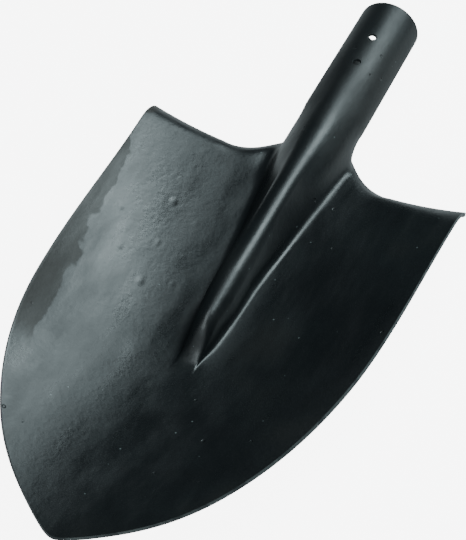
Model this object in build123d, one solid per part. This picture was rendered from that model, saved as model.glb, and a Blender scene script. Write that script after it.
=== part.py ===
from build123d import *
import math
import os

# Round point shovel head. X is across the blade, +Y runs out of the socket's mouth along its axis,
# +Z is the front, the hollow side of the blade. The origin is the centre of the socket's mouth.
# Stations down the head are given as t, the distance from the mouth towards the tip: t = -Y.

# ---- sheet and socket ----
SHEET = 2.0  # thickness of the steel sheet
SOCKET_R = 21.0  # outside radius of the rolled socket
BORE_R = SOCKET_R - SHEET  # takes a 38 mm handle
BORE_LENGTH = 96.0  # the handle reaches this deep, to where the socket's back slants away
BORE_RELIEF = 0.3  # the wall is pressed this much thinner beyond the bore
SOCKET_END = 126.0  # the tube's front half runs on to here, where it is the ridge
SEAM_GAP = 1.6  # slot that the rolled edges leave along the back
FIXING_STATIONS = (36.2, 62.9)  # two fixing holes on the front centre line
FIXING_R = 3.0

# ---- blade outline ----
TREAD_T = 141.0  # free edge of the turned treads
CORNER_X = 104.7  # half width over the treads
TIP_T = 445.0
SIDE_POINTS = [(102.1, 172.0), (97.8, 256.0), (89.3, 320.0), (67.2, 380.0), (34.3, 420.5)]
CORNER_ROUND = 2.0
TIP_ROUND = 7.0
NECK_START = 120.5  # station where the neck leaves the tube
NECK_START_X = 22.0
NECK_END_X = 41.5  # half width where the neck meets the tread
NECK_ROUND_TOP = 6.0
NECK_ROUND_LOW = 16.0
NECK_SOFTNESS = 4.0  # rounding between the neck's edge and the tread, for the tread's bend
SIDE_DIRECTION = (-0.08, -1.0)  # of the side's curve at the corner
TIP_DIRECTION = (-1.0, -0.52)  # of the side's curve at the tip

# ---- dish of the blade ----
PAN_LEVEL = -3.0  # height of the blade's centre line under the ridge
LIFT_START = 300.0  # station where the blade starts to sweep up to the tip
LIFT_SLOPE = 0.31
LIFT_SOFTNESS = 18.0
DISH_R_LOW = 142.0  # radius of the cross dish from the ridge's nose down
DISH_R_RATE = 0.62  # growth of that radius per mm from there up to the treads
DISH_LOW_T = 305.0
DISH_SOFTNESS = 15.0  # length over which the growth sets in

# ---- turned treads ----
TREAD_TURN = 63.0  # degrees that the sheet turns backwards
TREAD_R_NECK = 14.0  # bend radius where the neck ends
TREAD_R_RATE = 0.25  # growth of the bend radius per mm towards the corner
TREAD_R_MIN = 8.0
TREAD_FADE = 3.0  # the turned sheet runs straight this far past its edge, before the trim

# ---- ridge ----
RIDGE_START = 150.0
RIDGE_TAPER = 0.138  # loss of crest radius per mm
CREST_R_MIN = 4.5
FOOT_R = 5.0  # fillet between ridge and blade
FLANK_TURN = 82.0  # degrees that the crest turns before the flank runs straight
FLANK_BLEND = 30.0  # length over which the flanks lean from upright to FLANK_TURN
CREST_DROP_T = 248.0
CREST_DROP = 0.10  # fall of the crest per mm beyond CREST_DROP_T
NOSE_T = 283.0  # the ridge's end starts to close here
NOSE_LENGTH = 23.0

# ---- back plate and welds ----
PLATE = 2.0
PLATE_TOP = -5.15
PLATE_BEND_T = 128.0
PLATE_NECK_T = 139.5  # the plate is as narrow as the socket down to here
PLATE_SHOULDER_T = 150.0
PLATE_END_T = 291.0
PLATE_HALF_NECK = 20.0
PLATE_HALF_TOP = 24.5
PLATE_HALF_END = 10.0
TONGUE_START_T = 95.0  # station on the socket's back where the slanted end begins
BEAD_R = 2.6
BEAD_LEVEL = -5.4  # height of the bead's centre
BEAD_INSET = 0.2
END_BEAD = 1.6
END_BEAD_TOP = -8.0
SEAM_INSET = 1.0
SEAM_CROWN_R = 3.0
SEAM_PROUD = 0.9

# ---- sections that the sheet is lofted through ----
SHEET_START = 116.5  # first section; its ridge lies inside the tube's wall
SHEET_END = 451.0
SCARF = 0.1  # how far inside that wall
NECK_WIDE_T = 137.0  # from here on the untrimmed sheet is wider than the treads
NECK_MARGIN = 6.0
NECK_SPREAD = 0.9  # growth of the untrimmed sheet's half width per mm in the neck
REACH = 112.0  # its half width below the neck
REACH_LOW_LENGTH = 200.0
STATION_STEP = 6.0
CREST_POINTS = 40
FLANK_MIN = 1.0
FOOT_POINTS = 30
PAN_POINTS = 60
SECTION_POINTS = 36
TRIM_DEPTH = 120.0
TRIM_OVER = 10.0  # how far the outline reaches up over the neck's start
SLOPE_STEP = 1.0  # distance of the helper sections that only give the end sections their slope
LEAST_FLATNESS = 0.35  # keeps the thickness of a steeply leaning sheet from being stretched without limit


def smooth_step(value):
    value = min(max(value, 0.0), 1.0)
    return value * value * (3.0 - 2.0 * value)


def dish_radius(t):
    run = DISH_LOW_T - t
    return DISH_R_LOW + 0.5 * DISH_R_RATE * (run + math.hypot(run, DISH_SOFTNESS))


def centre_line(t):
    """Height of the dish on the blade's centre line."""
    run = t - LIFT_START
    return PAN_LEVEL + 0.5 * LIFT_SLOPE * (run + math.hypot(run, LIFT_SOFTNESS))


def tread_edge(x):
    """Station of the sheet's free edge at the shoulder, at half width x."""
    slope = (TREAD_T - NECK_START) / (NECK_END_X - NECK_START_X)
    diagonal = NECK_START + (x - NECK_START_X) * slope
    gap = TREAD_T - diagonal
    return TREAD_T - 0.5 * (gap + math.hypot(gap, NECK_SOFTNESS))


def tread_drop(x, t):
    """How far the turned tread falls behind the dish."""
    bend = max(TREAD_R_MIN, TREAD_R_NECK + TREAD_R_RATE * (x - NECK_END_X))
    turn = math.radians(TREAD_TURN)
    run = bend * math.sin(turn)
    past = tread_edge(x) + run - t
    if past <= 0.0:
        return 0.0
    if past <= run:
        return bend - math.sqrt(bend * bend - past * past)
    beyond = TREAD_FADE * (1.0 - math.exp((run - past) / TREAD_FADE))
    return bend * (1.0 - math.cos(turn)) + beyond * math.tan(turn)


def pan_height(x, t):
    """Height of the blade's front face away from the ridge."""
    x = min(abs(x), REACH)
    radius = dish_radius(t)
    return centre_line(t) + radius - math.sqrt(radius * radius - x * x) - tread_drop(x, t)


def crest_height(t):
    """Height of the ridge's crest up to the start of its nose."""
    return SOCKET_R - CREST_DROP * max(0.0, t - CREST_DROP_T)


def ridge_foot(crest_r, top, turn, flank):
    """Centre of the foot fillet for a crest that turns by turn and a straight flank."""
    x = crest_r * math.sin(turn) + flank * math.cos(turn) + FOOT_R * math.sin(turn)
    z = top - crest_r * (1.0 - math.cos(turn)) - flank * math.sin(turn) + FOOT_R * math.cos(turn)
    return x, z


def foot_gap(crest_r, top, turn, flank, t):
    """Height of the fillet's end over the blade, the blade's slope there, and its x."""
    x, z = ridge_foot(crest_r, top, turn, flank)
    slope = math.atan(pan_height(x + 0.5, t) - pan_height(x - 0.5, t))
    end_x = x + FOOT_R * math.sin(slope)
    end_z = z - FOOT_R * math.cos(slope)
    return end_z - pan_height(end_x, t), slope, end_x


def solve(low, high, test):
    """Bisection: the value between low and high where test turns negative."""
    for _ in range(40):
        middle = 0.5 * (low + high)
        if test(middle) > 0.0:
            low = middle
        else:
            high = middle
    return 0.5 * (low + high)


def ridge_points(t):
    """The ridge from its crest to its foot at station t: crest arc, flank, foot fillet."""
    top = crest_height(t)
    crest_r = max(CREST_R_MIN, SOCKET_R - RIDGE_TAPER * max(0.0, t - RIDGE_START))
    closing = smooth_step((t - RIDGE_START) / FLANK_BLEND)
    turn = math.radians(90.0 - (90.0 - FLANK_TURN) * closing)
    if foot_gap(crest_r, top, turn, FLANK_MIN, t)[0] < 0.0:
        flank = FLANK_MIN
        turn = solve(0.5, turn, lambda value: foot_gap(crest_r, top, value, FLANK_MIN, t)[0])
    else:
        flank = solve(FLANK_MIN, 60.0, lambda value: foot_gap(crest_r, top, turn, value, t)[0])
    _, slope, foot_x = foot_gap(crest_r, top, turn, flank, t)
    cx, cz = ridge_foot(crest_r, top, turn, flank)
    points = []
    for i in range(CREST_POINTS):
        angle = turn * i / CREST_POINTS
        points.append((crest_r * math.sin(angle), top - crest_r * (1.0 - math.cos(angle))))
    for i in range(FOOT_POINTS + 1):
        angle = turn - (turn + slope) * i / FOOT_POINTS
        points.append((cx - FOOT_R * math.sin(angle), cz - FOOT_R * math.cos(angle)))
    return points


def blade_section(t, reach):
    """Fine half section of blade and ridge at station t, from the crest outwards."""
    points = ridge_points(min(t, NOSE_T))
    if t > NOSE_T:
        left = 1.0 - smooth_step((t - NOSE_T) / NOSE_LENGTH)
        points = [(x, pan_height(x, t) + (z - pan_height(x, NOSE_T)) * left) for x, z in points]
    foot_x = points[-1][0]
    for i in range(1, PAN_POINTS + 1):
        x = foot_x + (reach - foot_x) * i / PAN_POINTS
        points.append((x, pan_height(x, t)))
    return points


def spread(points, count):
    """Count + 1 points along the given ones at equal distances."""
    lengths = [0.0]
    for (x0, z0), (x1, z1) in zip(points, points[1:]):
        lengths.append(lengths[-1] + math.hypot(x1 - x0, z1 - z0))
    result = []
    j = 0
    for i in range(count + 1):
        goal = lengths[-1] * i / count
        while j < len(points) - 2 and lengths[j + 1] < goal:
            j += 1
        share = (goal - lengths[j]) / (lengths[j + 1] - lengths[j])
        x = points[j][0] + (points[j + 1][0] - points[j][0]) * share
        z = points[j][1] + (points[j + 1][1] - points[j][1]) * share
        result.append((x, z))
    return result


def reach_at(t):
    """Half width of the untrimmed sheet at station t."""
    if t < NECK_WIDE_T:
        return NECK_END_X + NECK_MARGIN - (NECK_WIDE_T - t) * NECK_SPREAD
    low = max(0.0, (t - LIFT_START) / REACH_LOW_LENGTH)
    return REACH * math.sqrt(1.0 - low * low)


def full_section(t):
    """Front face at station t from the left-hand edge over the ridge to the right-hand edge."""
    right = spread(blade_section(t, reach_at(t)), SECTION_POINTS)
    scarf = 1.0 - SCARF / SOCKET_R if t < SOCKET_END + 1.0 else 1.0
    right = [(x * scarf, z * scarf) for x, z in right]
    left = [(-x, z) for x, z in reversed(right[1:])]
    return [Vector(x, -t, z) for x, z in left + right]


def stations():
    neck = [SHEET_START, SHEET_START + 5.0, SOCKET_END - 0.5, SOCKET_END + 2.0]
    neck += [SOCKET_END + 5.0, NECK_WIDE_T - 0.5, NECK_WIDE_T]
    count = round((SHEET_END - TREAD_T) / STATION_STEP)
    return neck + [TREAD_T + (SHEET_END - TREAD_T) * i / count for i in range(count + 1)]


def section_wire(front, before, after):
    """Closed outline of the sheet at one station, from its front face and its two neighbours'."""
    back = []
    last = len(front) - 1
    thickness = SHEET - 2.0 * SCARF if front[0].Y > -SOCKET_END - 1.0 else SHEET
    for i, point in enumerate(front):
        across = front[min(i + 1, last)] - front[max(i - 1, 0)]
        normal = (after[i] - before[i]).cross(across).normalized()
        flat = math.hypot(normal.X, normal.Z)
        depth = thickness / max(flat, LEAST_FLATNESS) / flat
        back.append(Vector(point.X - depth * normal.X, point.Y, point.Z - depth * normal.Z))
    even = [i / last for i in range(last + 1)]
    edges = [
        Edge.make_spline(front, parameters=even),
        Edge.make_line(front[-1], back[-1]),
        Edge.make_spline(back[::-1], parameters=even),
        Edge.make_line(back[0], front[0]),
    ]
    return Wire(edges)


def sheet_solid():
    """The pressed sheet of neck and blade, wider than the outline."""
    places = stations()
    rows = [full_section(t) for t in places]
    tube = [Vector(point.X, point.Y + SLOPE_STEP, point.Z) for point in rows[0]]
    beyond = full_section(places[-1] + SLOPE_STEP)
    before = [tube] + rows[:-1]
    after = [[Vector(p.X, p.Y - SLOPE_STEP, p.Z) for p in rows[0]]] + rows[2:] + [beyond]
    wires = [section_wire(row, low, high) for row, low, high in zip(rows, before, after)]
    return Solid.make_loft(wires[::-1], ruled=True)


def outline_prism():
    """The head's outline seen from the front, as a tall prism that trims the sheet."""
    corners = [
        (NECK_START_X, -NECK_START + TRIM_OVER),
        (NECK_START_X, -NECK_START),
        (NECK_END_X, -TREAD_T),
        (CORNER_X, -TREAD_T),
    ]
    side = Edge.make_spline(
        [Vector(x, -t) for x, t in [(CORNER_X, TREAD_T)] + SIDE_POINTS + [(0.0, TIP_T)]],
        tangents=[Vector(*SIDE_DIRECTION), Vector(*TIP_DIRECTION)],
    )
    path = [Edge.make_line(corners[i], corners[i + 1]) for i in range(3)] + [side]
    path += [edge.mirror(Plane.YZ) for edge in path]
    top = Edge.make_line((-NECK_START_X, -NECK_START + TRIM_OVER), (NECK_START_X, -NECK_START + TRIM_OVER))
    face = Face(Wire(path + [top]))
    rounds = (
        (NECK_ROUND_TOP, NECK_START_X, NECK_START),
        (NECK_ROUND_LOW, NECK_END_X, TREAD_T),
        (CORNER_ROUND, CORNER_X, TREAD_T),
        (TIP_ROUND, 0.0, TIP_T),
    )
    for radius, x, t in rounds:
        spots = [v for v in face.vertices() if math.hypot(abs(v.X) - x, v.Y + t) < 0.5]
        face = face.fillet_2d(radius, spots)
    return extrude(Pos(0, 0, -TRIM_DEPTH) * face, 2.0 * TRIM_DEPTH, dir=(0, 0, 1))


def along_y(radius, start, end):
    """A cylinder on the socket's axis between two stations."""
    middle = 0.5 * (start + end)
    return Pos(0, -middle, 0) * Rot(90, 0, 0) * Cylinder(radius, end - start)


def slanted_slab(low, high, width, length):
    """A slab parallel to the socket's slanted end, between two depths behind it."""
    start = Vector(0, -TONGUE_START_T, -SOCKET_R)
    end = Vector(0, -PLATE_BEND_T, PLATE_TOP)
    along = (end - start).normalized()
    up = Vector(1, 0, 0).cross(along)
    if up.Z < 0.0:
        up = up * -1.0
    centre = end - along * (0.5 * length) - up * (0.5 * (low + high))
    return Plane(origin=centre, x_dir=(1, 0, 0), z_dir=up) * Box(width, length, high - low)


def head_pressing():
    """Blade, ridge, treads and rolled socket, all one pressed sheet."""
    sheet = (sheet_solid() & outline_prism()).solids()[0]
    tube = along_y(SOCKET_R, 0.0, SOCKET_END) - along_y(BORE_R, -1.0, BORE_LENGTH)
    tube -= along_y(BORE_R + BORE_RELIEF, BORE_LENGTH, SOCKET_END + 1.0)
    tube -= Pos(0, -0.5 * SOCKET_END, -SOCKET_R) * Box(SEAM_GAP, SOCKET_END + 2.0, SOCKET_R)
    tube -= slanted_slab(0.0, 40.0, 60.0, 70.0)
    head = tube.solids()[0].fuse(sheet)
    for station in FIXING_STATIONS:
        head -= Pos(0, -station, SOCKET_R) * Cylinder(FIXING_R, SOCKET_R)
    return head.solids()[0]


def socket_seam_weld():
    """Weld bead that fills the slot along the socket's back and stands a little proud."""
    length = TONGUE_START_T - 2.0 * SEAM_INSET
    middle = -0.5 * TONGUE_START_T
    slot = Pos(0, middle, -SOCKET_R) * Box(SEAM_GAP, length, 2.0 * SOCKET_R)
    bead = slot & (along_y(SOCKET_R, SEAM_INSET, TONGUE_START_T) - along_y(BORE_R + 0.1, 0.0, 200.0))
    crown = Pos(0, middle, -SOCKET_R + SEAM_CROWN_R - SEAM_PROUD) * Rot(90, 0, 0)
    crown = crown * Cylinder(SEAM_CROWN_R, length)
    below = Pos(0, middle, -SOCKET_R - 9.0) * Box(20.0, length, 20.0)
    return bead.solids()[-1] + ((crown & below) - along_y(SOCKET_R, -5.0, 150.0))


def plate_outline(margin):
    """Half outline of the back plate's flat part, seen from behind."""
    half_top = PLATE_HALF_TOP + margin
    half_end = PLATE_HALF_END + margin
    end = -PLATE_END_T - margin
    points = [
        (-half_top, -PLATE_SHOULDER_T),
        (-PLATE_HALF_NECK, -PLATE_NECK_T),
        (-PLATE_HALF_NECK, -PLATE_BEND_T),
        (PLATE_HALF_NECK, -PLATE_BEND_T),
        (PLATE_HALF_NECK, -PLATE_NECK_T),
        (half_top, -PLATE_SHOULDER_T),
        (half_end, end),
        (-half_end, end),
    ]
    face = Face(Wire.make_polygon(points, close=True))
    ends = [v for v in face.vertices() if abs(v.Y - end) < 0.1]
    return face.fillet_2d(0.8 * half_end, ends)


def back_plate():
    """Tapered plate over the ridge's hollow, bent to meet the socket's slanted end."""
    flat = extrude(Pos(0, 0, PLATE_TOP - PLATE) * plate_outline(0.0), PLATE, dir=(0, 0, 1))
    tongue = slanted_slab(0.05, PLATE + 0.05, 2.0 * SOCKET_R, 40.0)
    tongue &= along_y(SOCKET_R + 0.5, 60.0, PLATE_BEND_T + 4.0)
    return flat + tongue


def plate_weld(head, plate):
    """One bead run down the plate's sides and round its nose end."""
    outline = plate_outline(BEAD_INSET)
    edges = [edge for edge in outline.edges() if (edge @ 0.5).Y < -PLATE_SHOULDER_T]
    path = Pos(0, 0, BEAD_LEVEL) * Wire(edges)
    start = Plane(origin=path @ 0, z_dir=path % 0)
    bead = sweep(start * Circle(BEAD_R), path, transition=Transition.ROUND)
    return max((bead - plate - head).solids(), key=lambda solid: solid.volume)


def socket_end_weld(head, plate, seam):
    """Bead between the socket's slanted end and the plate's tongue."""
    collar = along_y(SOCKET_R + END_BEAD, 60.0, PLATE_BEND_T) - along_y(SOCKET_R, 50.0, 140.0)
    collar &= slanted_slab(-END_BEAD, END_BEAD, 60.0, 60.0)
    collar &= Pos(0, -100.0, END_BEAD_TOP - 20.0) * Box(60.0, 100.0, 40.0)
    return max((collar - plate - head - seam).solids(), key=lambda solid: solid.volume)


head = head_pressing()
plate = back_plate()
seam = socket_seam_weld()
nodes = {
    "head_pressing": head,
    "back_plate": plate,
    "socket_seam_weld": seam,
    "plate_weld": plate_weld(head, plate),
    "socket_end_weld": socket_end_weld(head, plate, seam),
}
os.makedirs("parts", exist_ok=True)
for name, shape in nodes.items():
    export_step(shape, "parts/" + name + ".step")
    print(name, shape.is_valid, round(shape.volume), len(shape.solids()), shape.bounding_box())
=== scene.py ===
import math

import bpy
import numpy as np
from mathutils import Matrix, Vector, noise


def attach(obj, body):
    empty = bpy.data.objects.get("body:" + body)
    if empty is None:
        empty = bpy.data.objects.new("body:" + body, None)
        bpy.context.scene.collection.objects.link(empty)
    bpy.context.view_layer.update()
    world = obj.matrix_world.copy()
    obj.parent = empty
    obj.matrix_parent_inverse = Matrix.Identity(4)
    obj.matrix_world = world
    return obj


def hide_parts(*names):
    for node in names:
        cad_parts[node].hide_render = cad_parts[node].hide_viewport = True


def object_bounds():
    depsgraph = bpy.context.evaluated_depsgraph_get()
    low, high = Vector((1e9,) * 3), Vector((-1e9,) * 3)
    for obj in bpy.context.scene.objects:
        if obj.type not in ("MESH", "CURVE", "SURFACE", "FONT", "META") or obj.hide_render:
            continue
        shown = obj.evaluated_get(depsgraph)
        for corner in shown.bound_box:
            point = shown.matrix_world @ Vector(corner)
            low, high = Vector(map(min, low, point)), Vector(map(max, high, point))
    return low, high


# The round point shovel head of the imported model, rebuilt as a fine pressed sheet with welds.
# Lengths are in mm until a mesh is made. X is across the blade, Z is the front, and t is the
# station down the head from the socket's mouth, so that Y = -t.

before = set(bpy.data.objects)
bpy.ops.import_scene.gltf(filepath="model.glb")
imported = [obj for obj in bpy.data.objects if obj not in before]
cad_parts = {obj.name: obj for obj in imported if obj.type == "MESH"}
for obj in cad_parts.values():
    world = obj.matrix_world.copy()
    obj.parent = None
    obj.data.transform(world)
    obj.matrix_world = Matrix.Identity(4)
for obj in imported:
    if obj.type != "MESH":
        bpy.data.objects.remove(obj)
cad_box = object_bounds()
MM = 0.001

# ---- sheet and socket ----
SHEET = 2.0
SOCKET_R = 21.0
SEAM_ANGLE = 177.8  # half the angle that the rolled sheet covers
NECK_WRAP = 118.0  # what is left of that angle at the neck
SLANT_START = 95.0  # the socket's back opens from here down to the neck
NECK_T = 117.0  # the socket's sides run into the neck here
MORPH_START = 96.0
PINCH_START = 45.0  # from here the wall is drawn in beside the crest
PINCH = 1.5
PINCH_ANGLE = math.radians(76.0)
FIXING_STATIONS = (36.2, 62.9)
FIXING_R = 3.0
HOLE_RINGS = (4.3, 3.4)  # rings of mesh round a fixing hole

# ---- outline ----
TREAD_T = 141.0
NECK_LINE_T = 122.0  # where the neck's slanted edge, drawn on, meets the socket's side
NECK_END_X = 41.5
NECK_SOFTNESS = 5.0
NECK_FLARE_X = 2.4  # how quickly the neck's edge turns off the socket's side
CORNER_X = 104.1
CORNER_ROUND = 2.2
SIDE = ((141, CORNER_X), (172, 101.7), (256, 97.3), (320, 88.8), (380, 66.7), (420, 34.0), (444.5, 0.0))
TIP_LOSS = 2.52  # what rounding takes off the tip
TIP_REACH = 3.6
LAST_ROW_T = 435.0
FAN_TOP = 45.0  # length over which the rows straighten below the treads
FAN_TIP = 40.0

# ---- dish ----
PAN_LEVEL = -3.0
LIFT_START = 300.0
LIFT_SLOPE = 0.31
LIFT_SOFTNESS = 18.0
DISH_R_LOW = 142.0
DISH_R_RATE = 0.62
DISH_LOW_T = 305.0

# ---- turned treads ----
TREAD_TURN = math.radians(63.0)
TREAD_R_NECK = 14.0
TREAD_R_RATE = 0.25
TREAD_R_MIN = 8.0

# ---- ridge ----
PEAK_START = 118.0  # the half tube starts to turn into a narrow crest on slanted flanks
PEAK_END = 178.0
CREST_R = 8.5
CREST_R_MIN = 6.0
FOOT_R = 5.0
FOOT_R_NECK = 8.0
FOOT_R_NOSE = 2.8
FOOT_NECK = (125.0, 165.0)  # the fillet goes from the neck's radius to FOOT_R between these stations
FOOT_NOSE = (220.0, 280.0)  # and from FOOT_R to the nose's radius between these
FOOT_END = 24.0  # half width over the ridge's feet at station FOOT_END_T
FOOT_END_T = 163.0
FOOT_TAPER = 0.122
FLANK_TURN = 84.0
CREST_DROP_T = 248.0
CREST_DROP = 0.10
NOSE_T = 280.0
NOSE_LENGTH = 24.0
NOSE_PINCH = 0.78
NOSE_FADE = 22.0
NOSE_BLUNT = 1.45

# ---- knocks in the blade's left half, spread by the golden angle ----
KNOCKS = 9
KNOCK_TURN = math.pi * (3.0 - math.sqrt(5.0))
KNOCK_CENTRE = (-60.0, 240.0)
KNOCK_SPREAD = (30.0, 60.0)
KNOCK_R = (1.4, 2.6)  # smallest and largest radius
KNOCK_DEEP = 0.13  # depth as a share of the radius
KNOCK_REACH = 2.5  # in radii
KNOCK_LIP = 0.25  # height of the raised lip round a knock, as a share of its depth
KNOCK_LIP_AT = 1.3

# ---- camera, in metres and radians ----
CAMERA_PLACE = (0.1873, -0.6332, 0.5707)
VIEW_AZIMUTH = math.radians(25.9)
VIEW_ELEVATION = math.radians(52.28)
VIEW_ROLL = math.radians(-0.28)
LENS = 82.35

# ---- paint ----
DARK_PAINT = (0.0055, 0.0068, 0.0078)
LIGHT_PAINT = (0.011, 0.0145, 0.0155)
BROWN_PAINT = (0.017, 0.0155, 0.014)
# Painted shade: brownish grey for the strip along the blade's left side, which stands for the darker edge
# of the key light's reflection there.
STRIP_SHADE_PAINT = (0.019, 0.017, 0.015)
STRIP_START = 0.15  # metres down the head; the painted shade strip follows a parabola close to the blade's side
STRIP_SIDE = 0.1022  # half width of that parabola at its start, in metres
STRIP_BOW = 0.46  # how fast it comes in
STRIP_ROUGHER = 0.08  # added to the paint's roughness in the painted shade strip
SOCKET_ROUGHER = 0.14

# ---- where the sheet is smoothed after it is laid out, as ends for within() ----
RELAX_ROUNDS = 60
RELAX_STEP = 0.6
RELAX_NECK_X = (9.0, 17.0, 44.0, 58.0)
RELAX_NECK_T = (98.0, 110.0, 152.0, 176.0)
RELAX_NOSE_X = (-26.0, -18.0, 18.0, 26.0)
RELAX_NOSE_T = (262.0, 276.0, 312.0, 326.0)
RELAX_NOSE = 0.5  # the nose settles half as freely as the neck

# ---- waves left by pressing ----
WAVES_T = (150.0, 190.0, 418.0, 438.0)
WAVES_FROM_SIDE = 12.0
WIDE_WAVE = 0.22
NEAR_WAVE = 0.07

# ---- mesh density ----
ARC_CELLS = 40  # fineness of the arcs that a ridge section is first drawn with
RIDGE_CELLS = 40
PAN_CELLS = 72
ROWS_ABOVE_HOLES = 13
ROWS_BETWEEN_HOLES = 10
TUBE_STEP = (FIXING_STATIONS[1] - FIXING_STATIONS[0]) / ROWS_BETWEEN_HOLES
LAST_TUBE_GAP = 1.5  # least distance between the tube's last row and the blade's first
NECK_ROWS = 34.0  # length below the treads with fine rows
NECK_ROW_STEP = 1.1
ROW_STEP = 1.8


def smooth_step(value):
    value = min(max(value, 0.0), 1.0)
    return value * value * (3.0 - 2.0 * value)


def spline(points):
    """Natural cubic spline through (t, x) points, as a function of t."""
    t = np.array([p[0] for p in points], float)
    x = np.array([p[1] for p in points], float)
    count = len(t)
    step = np.diff(t)
    rows = np.zeros((count, count))
    right = np.zeros(count)
    rows[0, 0] = rows[-1, -1] = 1.0
    for i in range(1, count - 1):
        rows[i, i - 1], rows[i, i], rows[i, i + 1] = step[i - 1], 2.0 * (step[i - 1] + step[i]), step[i]
        right[i] = 3.0 * ((x[i + 1] - x[i]) / step[i] - (x[i] - x[i - 1]) / step[i - 1])
    bend = np.linalg.solve(rows, right)

    def value(at):
        i = int(min(max(np.searchsorted(t, at) - 1, 0), count - 2))
        run = at - t[i]
        slope = (x[i + 1] - x[i]) / step[i] - step[i] * (2.0 * bend[i] + bend[i + 1]) / 3.0
        cubic = (bend[i + 1] - bend[i]) / (3.0 * step[i])
        return x[i] + run * (slope + run * (bend[i] + run * cubic))

    return value


half_width = spline(SIDE)


def tread_edge(x):
    """Station of the sheet's free edge at the neck and shoulder."""
    slope = (TREAD_T - NECK_LINE_T) / (NECK_END_X - SOCKET_R)
    off = max(x, SOCKET_R) - SOCKET_R
    gap = TREAD_T - NECK_LINE_T - off * slope
    edge = TREAD_T - 0.5 * (gap + math.hypot(gap, NECK_SOFTNESS))
    edge -= (NECK_LINE_T - NECK_T) * math.exp(-off / NECK_FLARE_X)
    past = max(0.0, x - CORNER_X + CORNER_ROUND)
    return edge + CORNER_ROUND - math.sqrt(max(0.0, CORNER_ROUND ** 2 - past * past))


def tip_edge(x):
    """Station of the outline at the tip, rounded."""
    run = abs(x)
    low, high = LAST_ROW_T - 3.0, SIDE[-1][0]
    for _ in range(30):
        middle = 0.5 * (low + high)
        if half_width(middle) > run:
            low = middle
        else:
            high = middle
    lost = TIP_LOSS * math.exp(-run / TIP_REACH)
    return low - lost


def dish_radius(t):
    run = DISH_LOW_T - t
    return DISH_R_LOW + 0.5 * DISH_R_RATE * (run + math.hypot(run, 15.0))


def centre_line(t):
    run = t - LIFT_START
    return PAN_LEVEL + 0.5 * LIFT_SLOPE * (run + math.hypot(run, LIFT_SOFTNESS))


def tread_drop(x, t):
    bend = max(TREAD_R_MIN, TREAD_R_NECK + TREAD_R_RATE * (x - NECK_END_X))
    run = bend * math.sin(TREAD_TURN)
    past = tread_edge(min(x, CORNER_X - CORNER_ROUND)) + run - t
    if past <= 0.0:
        return 0.0
    if past <= run:
        return bend - math.sqrt(bend * bend - past * past)
    return bend * (1.0 - math.cos(TREAD_TURN))


def pan_height(x, t):
    radius = dish_radius(t)
    return centre_line(t) + radius - math.sqrt(radius * radius - x * x) - tread_drop(abs(x), t)


def crest_height(t):
    return SOCKET_R - CREST_DROP * max(0.0, t - CREST_DROP_T)


def foot_radius(t):
    """Radius of the fillet between ridge and blade."""
    neck = 1.0 - smooth_step((t - FOOT_NECK[0]) / (FOOT_NECK[1] - FOOT_NECK[0]))
    nose = smooth_step((t - FOOT_NOSE[0]) / (FOOT_NOSE[1] - FOOT_NOSE[0]))
    return FOOT_R + (FOOT_R_NECK - FOOT_R) * neck + (FOOT_R_NOSE - FOOT_R) * nose


def foot_gap(crest_r, top, turn, flank, t):
    """Height of the foot fillet's end over the pan, the pan's slope there, and the fillet's centre."""
    foot_r = foot_radius(t)
    x = (crest_r + foot_r) * math.sin(turn) + flank * math.cos(turn)
    z = top - crest_r * (1.0 - math.cos(turn)) - flank * math.sin(turn) + foot_r * math.cos(turn)
    slope = math.atan(pan_height(x + 0.5, t) - pan_height(x - 0.5, t))
    end_x = x + foot_r * math.sin(slope)
    end_z = z - foot_r * math.cos(slope)
    return end_z - pan_height(end_x, t), slope, x, z


def solve(low, high, test):
    for _ in range(30):
        middle = 0.5 * (low + high)
        if test(middle) > 0.0:
            low = middle
        else:
            high = middle
    return 0.5 * (low + high)


known_ridges = {}


def spread(points):
    """RIDGE_CELLS + 1 points at equal distances along the given ones."""
    places = np.array(points)
    steps = np.hypot(*np.diff(places, axis=0).T)
    along = np.concatenate(([0.0], np.cumsum(steps)))
    goals = np.linspace(0.0, along[-1], RIDGE_CELLS + 1)
    return list(zip(np.interp(goals, along, places[:, 0]), np.interp(goals, along, places[:, 1])))


def section(crest_r, top, turn, flank, t):
    """Half section from the crest to the foot's end: crest arc, straight flank, foot fillet."""
    foot_r = foot_radius(t)
    _, slope, cx, cz = foot_gap(crest_r, top, turn, flank, t)
    points = []
    for i in range(ARC_CELLS + 1):
        angle = turn * i / ARC_CELLS
        points.append((crest_r * math.sin(angle), top - crest_r * (1.0 - math.cos(angle))))
    for i in range(ARC_CELLS + 1):
        angle = turn - (turn + slope) * i / ARC_CELLS
        points.append((cx - foot_r * math.sin(angle), cz - foot_r * math.cos(angle)))
    return spread(points)


def pinch(angle, t):
    """How far the half tube's wall is drawn in beside its crest, in mm."""
    if angle > PINCH_ANGLE:
        return 0.0
    depth = PINCH * smooth_step((t - PINCH_START) / (NECK_T - PINCH_START))
    return depth * math.sin(math.pi * angle / PINCH_ANGLE) ** 2


def round_section(t):
    """The ridge as a half tube on vertical flanks, as it leaves the socket."""
    turn = 0.5 * math.pi
    foot_r = foot_radius(t)
    flank = 0.0
    for _ in range(5):
        flank = max(flank + foot_gap(SOCKET_R, SOCKET_R, turn, flank, t)[0], 0.0)
    _, slope, cx, cz = foot_gap(SOCKET_R, SOCKET_R, turn, flank, t)
    points = []
    for i in range(ARC_CELLS + 1):
        angle = turn * i / ARC_CELLS
        radius = SOCKET_R - pinch(angle, t)
        points.append((radius * math.sin(angle), radius * math.cos(angle)))
    for i in range(ARC_CELLS + 1):
        angle = turn - (turn + slope) * i / ARC_CELLS
        points.append((cx - foot_r * math.sin(angle), cz - foot_r * math.cos(angle)))
    return spread(points)


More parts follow.
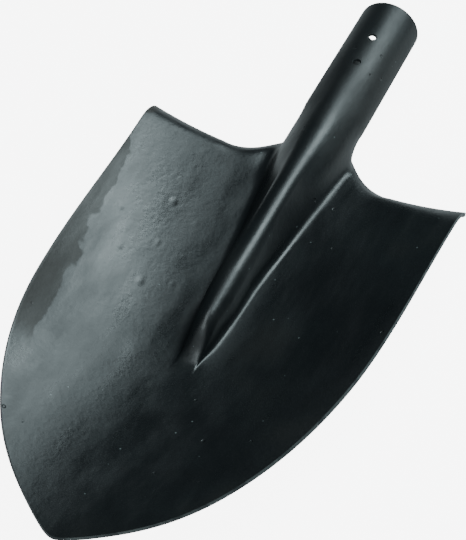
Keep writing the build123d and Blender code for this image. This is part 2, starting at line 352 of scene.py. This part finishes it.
def peaked_section(t):
    """The ridge as a narrow crest on straight slanted flanks, as wide at its foot as foot_end says."""
    top = crest_height(t)
    foot_end = FOOT_END - FOOT_TAPER * (t - FOOT_END_T)
    crest_r = min(CREST_R, max(CREST_R_MIN, foot_end - foot_radius(t)))

    def flank_for(turn):
        flank = 12.0
        for _ in range(5):
            flank = max(flank + foot_gap(crest_r, top, turn, flank, t)[0] / math.sin(turn), 0.0)
        return flank

    def too_wide(turn):
        _, slope, cx, _ = foot_gap(crest_r, top, turn, flank_for(turn), t)
        return cx + foot_radius(t) * math.sin(slope) - foot_end

    turn = solve(math.radians(35.0), math.radians(FLANK_TURN), too_wide)
    return section(crest_r, top, turn, flank_for(turn), t)


def ridge(t):
    """Half section of the ridge at station t as (x, z), from its crest to the end of its foot."""
    key = round(t, 2)
    if key in known_ridges:
        return known_ridges[key]
    at = min(t, NOSE_T)
    points = peaked_section(at)
    peak = smooth_step((at - PEAK_START) / (PEAK_END - PEAK_START))
    if peak < 1.0:
        pairs = zip(round_section(at), points)
        points = [(x0 + (x1 - x0) * peak, z0 + (z1 - z0) * peak) for (x0, z0), (x1, z1) in pairs]
    if t > NOSE_T:
        share = (t - NOSE_T) / NOSE_LENGTH
        left = 1.0 - smooth_step(share ** NOSE_BLUNT)
        width = max(NOSE_PINCH, math.sqrt(max(0.0, 1.0 - share ** 4)))
        if share > 1.0:
            width = NOSE_PINCH + (1.0 - NOSE_PINCH) * smooth_step((share - 1.0) * NOSE_LENGTH / NOSE_FADE)
        points = [
            (x * width, pan_height(x * width, t) + (z - pan_height(x, NOSE_T)) * left) for x, z in points
        ]
    known_ridges[key] = points
    return points


def fan(x, row):
    """Station of the point at half width x on the row that meets the side at station row."""
    top = max(0.0, 1.0 - (row - TREAD_T) / FAN_TOP)
    low = max(0.0, 1.0 - (LAST_ROW_T - row) / FAN_TIP)
    station = row + (tread_edge(x) - TREAD_T) * top * top
    if low > 0.0:
        station += (tip_edge(x * half_width(LAST_ROW_T) / half_width(row)) - LAST_ROW_T) * low * low
    return station


def blade_row(row):
    """Half row of the blade as (x, t, z), from the crest to the side."""
    crest_t = fan(0.0, row)
    points = []
    for i, (x, _) in enumerate(ridge(crest_t)):
        t = fan(x, row)
        x, z = ridge(t)[i]
        points.append((x, t, z))
    foot_x = points[-1][0]
    side_x = half_width(row)
    for i in range(1, PAN_CELLS + 1):
        x = foot_x + (side_x - foot_x) * i / PAN_CELLS
        t = fan(x, row)
        points.append((x, t, pan_height(x, t)))
    return points


def tube_row(t, last):
    """Half row of the rolled socket, turning into the ridge's first row."""
    opening = min(max((t - SLANT_START) / (NECK_T - SLANT_START), 0.0), 1.0)
    wrap = SEAM_ANGLE - (SEAM_ANGLE - NECK_WRAP) * math.sqrt(opening)
    morph = smooth_step((t - MORPH_START) / (NECK_T - MORPH_START))
    points = []
    for i in range(RIDGE_CELLS + 1):
        angle = math.radians(wrap * i / RIDGE_CELLS)
        x = (SOCKET_R - pinch(angle, t)) * math.sin(angle)
        z = (SOCKET_R - pinch(angle, t)) * math.cos(angle)
        x += (last[i][0] - x) * morph
        z += (last[i][2] - z) * morph
        points.append((x, t + (last[i][1] - NECK_T) * morph, z))
    return points


def unevenness(x, t):
    """The small waves that pressing leaves in the sheet, in mm."""
    wide = noise.noise(Vector((x / 46.0, t / 60.0, 3.1)))
    near = noise.noise(Vector((x / 17.0, t / 21.0, 8.7)))
    return WIDE_WAVE * wide + NEAR_WAVE * near


def full_row(half):
    return [(-x, t, z) for x, t, z in reversed(half[1:])] + list(half)


def sheet_rows():
    """Front face of the whole pressed sheet as two grids, tube and blade, with a shared row."""
    rows = []
    row = TREAD_T
    while row < LAST_ROW_T - 0.5:
        rows.append(row)
        row += NECK_ROW_STEP if row < TREAD_T + NECK_ROWS else ROW_STEP
    rows.append(LAST_ROW_T)
    blade = [blade_row(row) for row in rows]
    last = blade[0]
    first = FIXING_STATIONS[0] - ROWS_ABOVE_HOLES * TUBE_STEP
    count = int((NECK_T - LAST_TUBE_GAP - first) / TUBE_STEP) + 1
    tube_t = [0.0] + [first + TUBE_STEP * i for i in range(count)]
    tube = [tube_row(t, last) for t in tube_t]
    return [full_row(half) for half in tube], [full_row(half) for half in blade]


def within(value, ends):
    """1 between the two inner ends, falling smoothly to 0 at the two outer ones."""
    rise = smooth_step((value - ends[0]) / (ends[1] - ends[0]))
    return rise * smooth_step((ends[3] - value) / (ends[3] - ends[2]))


def relax_share(x, t):
    """How freely a point of the sheet may settle: in the neck's flares and round the ridge's nose."""
    neck = within(abs(x), RELAX_NECK_X) * within(t, RELAX_NECK_T)
    nose = within(x, RELAX_NOSE_X) * within(t, RELAX_NOSE_T)
    return max(neck, RELAX_NOSE * nose)


def relaxed(points, faces):
    """Points drawn towards the mean of their neighbours where the sheet flows round a bend."""
    places = np.array(points)
    share = np.array([relax_share(x, t) for x, t, _ in points])
    counts = {}
    for face in faces:
        for a, b in zip(face, face[1:] + face[:1]):
            key = (min(a, b), max(a, b))
            counts[key] = counts.get(key, 0) + 1
    edges = np.array(list(counts))
    is_rim = np.array(list(counts.values())) == 1
    on_rim = np.zeros(len(points), bool)
    on_rim[edges[is_rim].ravel()] = True
    pairs = np.concatenate((edges, edges[:, ::-1]))
    rim_pairs = np.concatenate((is_rim, is_rim))
    pairs = pairs[rim_pairs | ~on_rim[pairs[:, 0]]]
    degree = np.maximum(np.bincount(pairs[:, 0], minlength=len(points)), 1)
    for _ in range(RELAX_ROUNDS):
        for axis in range(3):
            total = np.bincount(pairs[:, 0], places[pairs[:, 1], axis], len(points))
            places[:, axis] += RELAX_STEP * share * (total / degree - places[:, axis])
    return places


def knock_places():
    """Place and radius of each knock."""
    places = []
    for i in range(KNOCKS):
        away = math.sqrt((i + 0.5) / KNOCKS)
        x = KNOCK_CENTRE[0] + KNOCK_SPREAD[0] * away * math.cos(i * KNOCK_TURN)
        t = KNOCK_CENTRE[1] + KNOCK_SPREAD[1] * away * math.sin(i * KNOCK_TURN)
        radius = KNOCK_R[0] + (KNOCK_R[1] - KNOCK_R[0]) * (0.5 + 0.5 * math.sin(7.0 * i))
        places.append((x, t, radius))
    return places


knocks = knock_places()


def knock_depth(x, t):
    """How deep the sheet is knocked in at a place, in mm."""
    depth = 0.0
    for at_x, at_t, radius in knocks:
        away = math.hypot(x - at_x, t - at_t) / radius
        if away < KNOCK_REACH:
            hollow = math.exp(-away * away * 2.0)
            lip = KNOCK_LIP * math.exp(-((away - KNOCK_LIP_AT) * 3.0) ** 2)
            depth += KNOCK_DEEP * radius * (hollow - lip)
    return depth


def add_mesh(name, points, faces, smooth=True):
    mesh = bpy.data.meshes.new(name)
    mesh.from_pydata([tuple(p) for p in points], [], faces)
    mesh.validate()
    mesh.update()
    if smooth:
        mesh.polygons.foreach_set("use_smooth", [True] * len(mesh.polygons))
    obj = bpy.data.objects.new(name, mesh)
    bpy.context.scene.collection.objects.link(obj)
    return obj


def pressed_sheet():
    """The visible pressing: one open front surface, thickened to the sheet's 2 mm."""
    tube, blade = sheet_rows()
    points = []
    faces = []
    columns = len(tube[0])
    for row in tube:
        points += row
    wide = len(blade[0])
    inset = (wide - columns) // 2
    blade_start = len(points)
    for row in blade:
        points += row

    def tube_index(row, column):
        if row < len(tube):
            return row * columns + column
        return blade_start + inset + column

    hole_rows = [ROWS_ABOVE_HOLES + 1, ROWS_ABOVE_HOLES + ROWS_BETWEEN_HOLES + 1]
    middle = columns // 2
    hole_cells = set()
    for row in hole_rows:
        for i in range(-2, 2):
            for j in range(-3, 3):
                hole_cells.add((row + i, middle + j))
    for row in range(len(tube)):
        for column in range(columns - 1):
            if (row, column) in hole_cells:
                continue
            corner = (tube_index(row, column), tube_index(row, column + 1))
            below = (tube_index(row + 1, column), tube_index(row + 1, column + 1))
            faces.append((corner[0], below[0], below[1], corner[1]))
    for row in range(len(blade) - 1):
        for column in range(wide - 1):
            a = blade_start + row * wide + column
            faces.append((a, a + wide, a + wide + 1, a + 1))
    for row, station in zip(hole_rows, FIXING_STATIONS):
        ring = [(row - 2, middle + j) for j in range(-3, 3)]
        ring += [(row + i, middle + 3) for i in range(-2, 2)]
        ring += [(row + 2, middle + j) for j in range(3, -3, -1)]
        ring += [(row + i, middle - 3) for i in range(2, -2, -1)]
        outer = [tube_index(*place) for place in ring]
        for radius in HOLE_RINGS + (FIXING_R,):
            inner = []
            for place in ring:
                x, t, z = points[tube_index(*place)]
                across = SOCKET_R * math.atan2(x, z)
                angle = math.atan2(t - station, across)
                turn = radius * math.cos(angle) / SOCKET_R
                inner.append(len(points))
                down = station + radius * math.sin(angle)
                points.append((SOCKET_R * math.sin(turn), down, SOCKET_R * math.cos(turn)))
            for i in range(len(ring)):
                j = (i + 1) % len(ring)
                faces.append((outer[i], inner[i], inner[j], outer[j]))
            outer = inner
    moved = []
    for x, t, z in relaxed(points, faces):
        from_side = half_width(min(max(t, TREAD_T), LAST_ROW_T)) - abs(x)
        fade = within(t, WAVES_T) * smooth_step(from_side / WAVES_FROM_SIDE)
        moved.append((x * MM, -t * MM, (z + unevenness(x, t) * fade - knock_depth(x, t)) * MM))
    sheet = add_mesh("head_sheet", moved, faces)
    solid = sheet.modifiers.new("thickness", "SOLIDIFY")
    solid.thickness = SHEET * MM
    solid.offset = -1.0
    solid.use_rim = True
    solid.material_offset_rim = 1
    bevel = sheet.modifiers.new("edge_round", "BEVEL")
    bevel.width = 0.4 * MM
    bevel.segments = 3
    bevel.limit_method = "ANGLE"
    bevel.angle_limit = math.radians(55.0)
    return sheet


# ---- materials ----


def new_material(name):
    material = bpy.data.materials.new(name)
    material.use_nodes = True
    nodes = material.node_tree.nodes
    nodes.clear()
    out = nodes.new("ShaderNodeOutputMaterial")
    shader = nodes.new("ShaderNodeBsdfPrincipled")
    material.node_tree.links.new(shader.outputs[0], out.inputs[0])
    return material, nodes, material.node_tree.links, shader


def noise_node(nodes, links, source, scale, detail=4.0, rough=0.55, stretch=None):
    if stretch is not None:
        mapping = nodes.new("ShaderNodeMapping")
        mapping.inputs["Scale"].default_value = stretch
        links.new(source, mapping.inputs[0])
        source = mapping.outputs[0]
    node = nodes.new("ShaderNodeTexNoise")
    node.inputs["Scale"].default_value = scale
    node.inputs["Detail"].default_value = detail
    node.inputs["Roughness"].default_value = rough
    links.new(source, node.inputs["Vector"])
    return node.outputs[0]


def ramp_node(nodes, links, source, low, high, low_value=0.0, high_value=1.0):
    node = nodes.new("ShaderNodeMapRange")
    node.interpolation_type = "SMOOTHSTEP"
    node.inputs["From Min"].default_value = low
    node.inputs["From Max"].default_value = high
    node.inputs["To Min"].default_value = low_value
    node.inputs["To Max"].default_value = high_value
    links.new(source, node.inputs["Value"])
    return node.outputs[0]


def math_node(nodes, links, operation, first, second):
    node = nodes.new("ShaderNodeMath")
    node.operation = operation
    for socket, value in zip(node.inputs, (first, second)):
        if isinstance(value, (int, float)):
            socket.default_value = value
        else:
            links.new(value, socket)
    return node.outputs[0]


def mix_colour(nodes, links, factor, first, second):
    node = nodes.new("ShaderNodeMix")
    node.data_type = "RGBA"
    if isinstance(factor, (int, float)):
        node.inputs[0].default_value = factor
    else:
        links.new(factor, node.inputs[0])
    for socket, value in ((node.inputs[6], first), (node.inputs[7], second)):
        if isinstance(value, tuple):
            socket.default_value = value + (1.0,)
        else:
            links.new(value, socket)
    return node.outputs[2]


def bump_node(nodes, links, height, distance, strength, below=None):
    node = nodes.new("ShaderNodeBump")
    node.inputs["Distance"].default_value = distance
    node.inputs["Strength"].default_value = strength
    links.new(height, node.inputs["Height"])
    if below is not None:
        links.new(below, node.inputs["Normal"])
    return node.outputs[0]


def pit_field(nodes, links, source, scale, size, keep):
    """Small round pits at some of the cells: 1 in a pit and 0 elsewhere."""
    cells = nodes.new("ShaderNodeTexVoronoi")
    cells.inputs["Scale"].default_value = scale
    links.new(source, cells.inputs["Vector"])
    pit = ramp_node(nodes, links, cells.outputs["Distance"], size, size * 0.45)
    split = nodes.new("ShaderNodeSeparateColor")
    links.new(cells.outputs["Color"], split.inputs[0])
    chosen = math_node(nodes, links, "GREATER_THAN", split.outputs[0], 1.0 - keep)
    return math_node(nodes, links, "MULTIPLY", pit, chosen)


def black_paint(name, rough=0.27, with_shade_strip_and_rough_socket=False):
    """Glossy black enamel with pits and nicks; for the head, also a painted shade strip along the blade's
    left side and a duller, rougher socket.
    """
    material, nodes, links, shader = new_material(name)
    place = nodes.new("ShaderNodeTexCoord").outputs["Object"]
    cloud = noise_node(nodes, links, place, 14.0, 5.0)
    grain = noise_node(nodes, links, place, 900.0, 3.0, 0.7)
    streak = noise_node(nodes, links, place, 60.0, 4.0, 0.6, (1.0, 0.25, 1.0))
    blend = math_node(nodes, links, "MULTIPLY", ramp_node(nodes, links, cloud, 0.35, 0.7), grain)
    colour = mix_colour(nodes, links, blend, DARK_PAINT, LIGHT_PAINT)
    brown = ramp_node(nodes, links, noise_node(nodes, links, place, 7.0, 3.0), 0.52, 0.72, 0.0, 0.5)
    colour = mix_colour(nodes, links, brown, colour, BROWN_PAINT)
    pits = pit_field(nodes, links, place, 170.0, 0.22, 0.10)
    patches = ramp_node(nodes, links, noise_node(nodes, links, place, 11.0, 2.0), 0.5, 0.62)
    pits = math_node(nodes, links, "MULTIPLY", pits, patches)
    nicks = pit_field(nodes, links, place, 260.0, 0.16, 0.035)
    colour = mix_colour(nodes, links, nicks, colour, (0.10, 0.12, 0.12))
    links.new(colour, shader.inputs["Base Color"])
    rough_field = ramp_node(nodes, links, streak, 0.3, 0.75, rough - 0.06, rough + 0.12)
    rough_grain = math_node(nodes, links, "MULTIPLY", grain, 0.10)
    rough_field = math_node(nodes, links, "ADD", rough_field, rough_grain)
    if with_shade_strip_and_rough_socket:
        # Painted shade: the strip along the blade's left side gets a brownish colour, more roughness and
        # less specular, which stand for the darker edge of the key light's reflection. The socket only gets
        # rougher.
        strip, socket = shade_strip_and_rough_socket(nodes, links, place)
        colour = mix_colour(nodes, links, strip, colour, STRIP_SHADE_PAINT)
        links.new(colour, shader.inputs["Base Color"])
        strip_shade_roughness = math_node(nodes, links, "MULTIPLY", strip, STRIP_ROUGHER)
        socket_wear = math_node(nodes, links, "MULTIPLY", socket, SOCKET_ROUGHER)
        # Added roughness over the painted shade strip and the socket.
        wear = math_node(nodes, links, "ADD", strip_shade_roughness, socket_wear)
        rough_field = math_node(nodes, links, "ADD", rough_field, wear)
        links.new(ramp_node(nodes, links, strip, 0.0, 1.0, 0.55, 0.36), shader.inputs["Specular IOR Level"])
    links.new(rough_field, shader.inputs["Roughness"])
    peel = noise_node(nodes, links, place, 420.0, 2.0)
    soft = noise_node(nodes, links, place, 75.0, 3.0)
    normal = bump_node(nodes, links, soft, 0.0006, 0.35)
    normal = bump_node(nodes, links, peel, 0.00012, 0.6, normal)
    normal = bump_node(nodes, links, math_node(nodes, links, "SUBTRACT", 1.0, pits), 0.0005, 0.9, normal)
    links.new(normal, shader.inputs["Normal"])
    shader.inputs["Specular IOR Level"].default_value = 0.55
    return material


def shade_strip_and_rough_socket(nodes, links, place):
    """Masks for a painted shade strip with a wavy border along the blade's left side, which stands for the
    darker edge of the key light's reflection, and for the socket, where the paint is dull.
    """
    split = nodes.new("ShaderNodeSeparateXYZ")
    links.new(place, split.inputs[0])
    x, y = split.outputs[0], split.outputs[1]
    run = math_node(nodes, links, "SUBTRACT", math_node(nodes, links, "MULTIPLY", y, -1.0), STRIP_START)
    bow = math_node(nodes, links, "MULTIPLY", math_node(nodes, links, "MULTIPLY", run, run), STRIP_BOW)
    from_side = math_node(nodes, links, "SUBTRACT", math_node(nodes, links, "ADD", x, STRIP_SIDE), bow)
    width = ramp_node(nodes, links, run, 0.0, 0.17, 0.003, 0.014)
    wave = ramp_node(nodes, links, noise_node(nodes, links, place, 38.0, 3.0), 0.25, 0.75, -0.004, 0.004)
    inside = math_node(nodes, links, "SUBTRACT", math_node(nodes, links, "ADD", width, wave), from_side)
    strip = ramp_node(nodes, links, inside, -0.0006, 0.0012)
    end = ramp_node(nodes, links, run, 0.205, 0.185)
    socket = ramp_node(nodes, links, y, -0.135, -0.085)
    return math_node(nodes, links, "MULTIPLY", strip, end), socket


def worn_edge(name):
    """Sheared edge of the sheet, where the paint is thin."""
    material, nodes, links, shader = new_material(name)
    place = nodes.new("ShaderNodeTexCoord").outputs["Object"]
    wear = ramp_node(nodes, links, noise_node(nodes, links, place, 90.0, 5.0, 0.65), 0.38, 0.62)
    colour = mix_colour(nodes, links, wear, (0.03, 0.036, 0.038), (0.12, 0.135, 0.135))
    links.new(colour, shader.inputs["Base Color"])
    links.new(ramp_node(nodes, links, wear, 0.0, 1.0, 0.5, 0.38), shader.inputs["Roughness"])
    links.new(ramp_node(nodes, links, wear, 0.4, 1.0, 0.0, 0.55), shader.inputs["Metallic"])
    lines = noise_node(nodes, links, place, 500.0, 2.0, 0.5, (1.0, 1.0, 0.15))
    links.new(bump_node(nodes, links, lines, 0.0002, 0.6), shader.inputs["Normal"])
    return material


def floor_material():
    material, nodes, links, shader = new_material("pale_floor")
    shader.inputs["Base Color"].default_value = (0.5, 0.5, 0.5, 1.0)
    shader.inputs["Roughness"].default_value = 0.9
    shader.inputs["Emission Color"].default_value = (1.0, 1.0, 1.0, 1.0)
    seen = nodes.new("ShaderNodeLightPath").outputs["Is Camera Ray"]
    links.new(ramp_node(nodes, links, seen, 0.0, 1.0, 0.1, 7.0), shader.inputs["Emission Strength"])
    return material


# ---- stage ----


def area_light(name, direction, distance, width, height, power, colour=(1.0, 1.0, 1.0)):
    """A softbox seen from the blade in the given direction, facing it."""
    data = bpy.data.lights.new(name, "AREA")
    data.shape = "RECTANGLE"
    data.size = width
    data.size_y = height
    data.energy = power
    data.color = colour
    obj = bpy.data.objects.new(name, data)
    bpy.context.scene.collection.objects.link(obj)
    away = Vector(direction).normalized()
    obj.location = Vector((0.0, -0.22, 0.0)) + away * distance
    obj.rotation_euler = away.to_track_quat("Z", "Y").to_euler()
    return obj


def build_stage():
    floor = add_mesh(
        "floor",
        [(-30.0, -30.0, 0.0), (30.0, -30.0, 0.0), (30.0, 30.0, 0.0), (-30.0, 30.0, 0.0)],
        [(0, 1, 2, 3)],
        smooth=False,
    )
    floor.location.z = cad_box[0][2] - 0.0005
    floor.data.materials.append(floor_material())
    world = bpy.data.worlds.new("studio")
    world.use_nodes = True
    nodes, links = world.node_tree.nodes, world.node_tree.links
    seen = nodes.new("ShaderNodeLightPath").outputs["Is Camera Ray"]
    tint = mix_colour(nodes, links, seen, (0.8, 0.95, 1.0), (1.0, 1.0, 1.0))
    links.new(tint, nodes["Background"].inputs[0])
    links.new(ramp_node(nodes, links, seen, 0.0, 1.0, 0.042, 7.0), nodes["Background"].inputs[1])
    bpy.context.scene.world = world
    area_light("key", (0.34, 0.52, 0.79), 1.6, 0.6, 0.9, 17.0, (0.80, 0.97, 1.0))
    area_light("back", (0.19, 0.84, 0.49), 1.7, 0.85, 0.75, 9.0, (0.80, 0.97, 1.0))
    area_light("top", (0.03, -0.25, 0.97), 1.6, 0.55, 1.7, 11.0, (0.85, 0.97, 1.0))
    area_light("fill", (0.1, -0.75, 0.65), 3.5, 4.0, 3.0, 25.0, (0.85, 0.97, 1.0))


def build_camera():
    data = bpy.data.cameras.new("camera")
    data.lens = LENS
    data.sensor_width = 36.0
    obj = bpy.data.objects.new("camera", data)
    turn = Matrix.Rotation(VIEW_AZIMUTH, 4, "Z")
    turn = turn @ Matrix.Rotation(0.5 * math.pi - VIEW_ELEVATION, 4, "X")
    turn = turn @ Matrix.Rotation(VIEW_ROLL, 4, "Z")
    obj.matrix_world = Matrix.Translation(CAMERA_PLACE) @ turn
    bpy.context.scene.collection.objects.link(obj)
    bpy.context.scene.camera = obj


sheet = pressed_sheet()
paint = black_paint("black_paint_sheet", with_shade_strip_and_rough_socket=True)
sheet.data.materials.append(paint)
sheet.data.materials.append(worn_edge("sheet_edge_wear"))
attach(sheet, "root")
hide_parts("head_pressing")

plate_paint = black_paint("black_paint_plate", rough=0.34)
weld_paint = black_paint("painted_weld_beads", rough=0.40)
for node, material in (
    ("back_plate", plate_paint),
    ("socket_seam_weld", weld_paint),
    ("plate_weld", weld_paint),
    ("socket_end_weld", weld_paint),
):
    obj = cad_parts[node]
    obj.data.materials.clear()
    obj.data.materials.append(material)

build_stage()
build_camera()
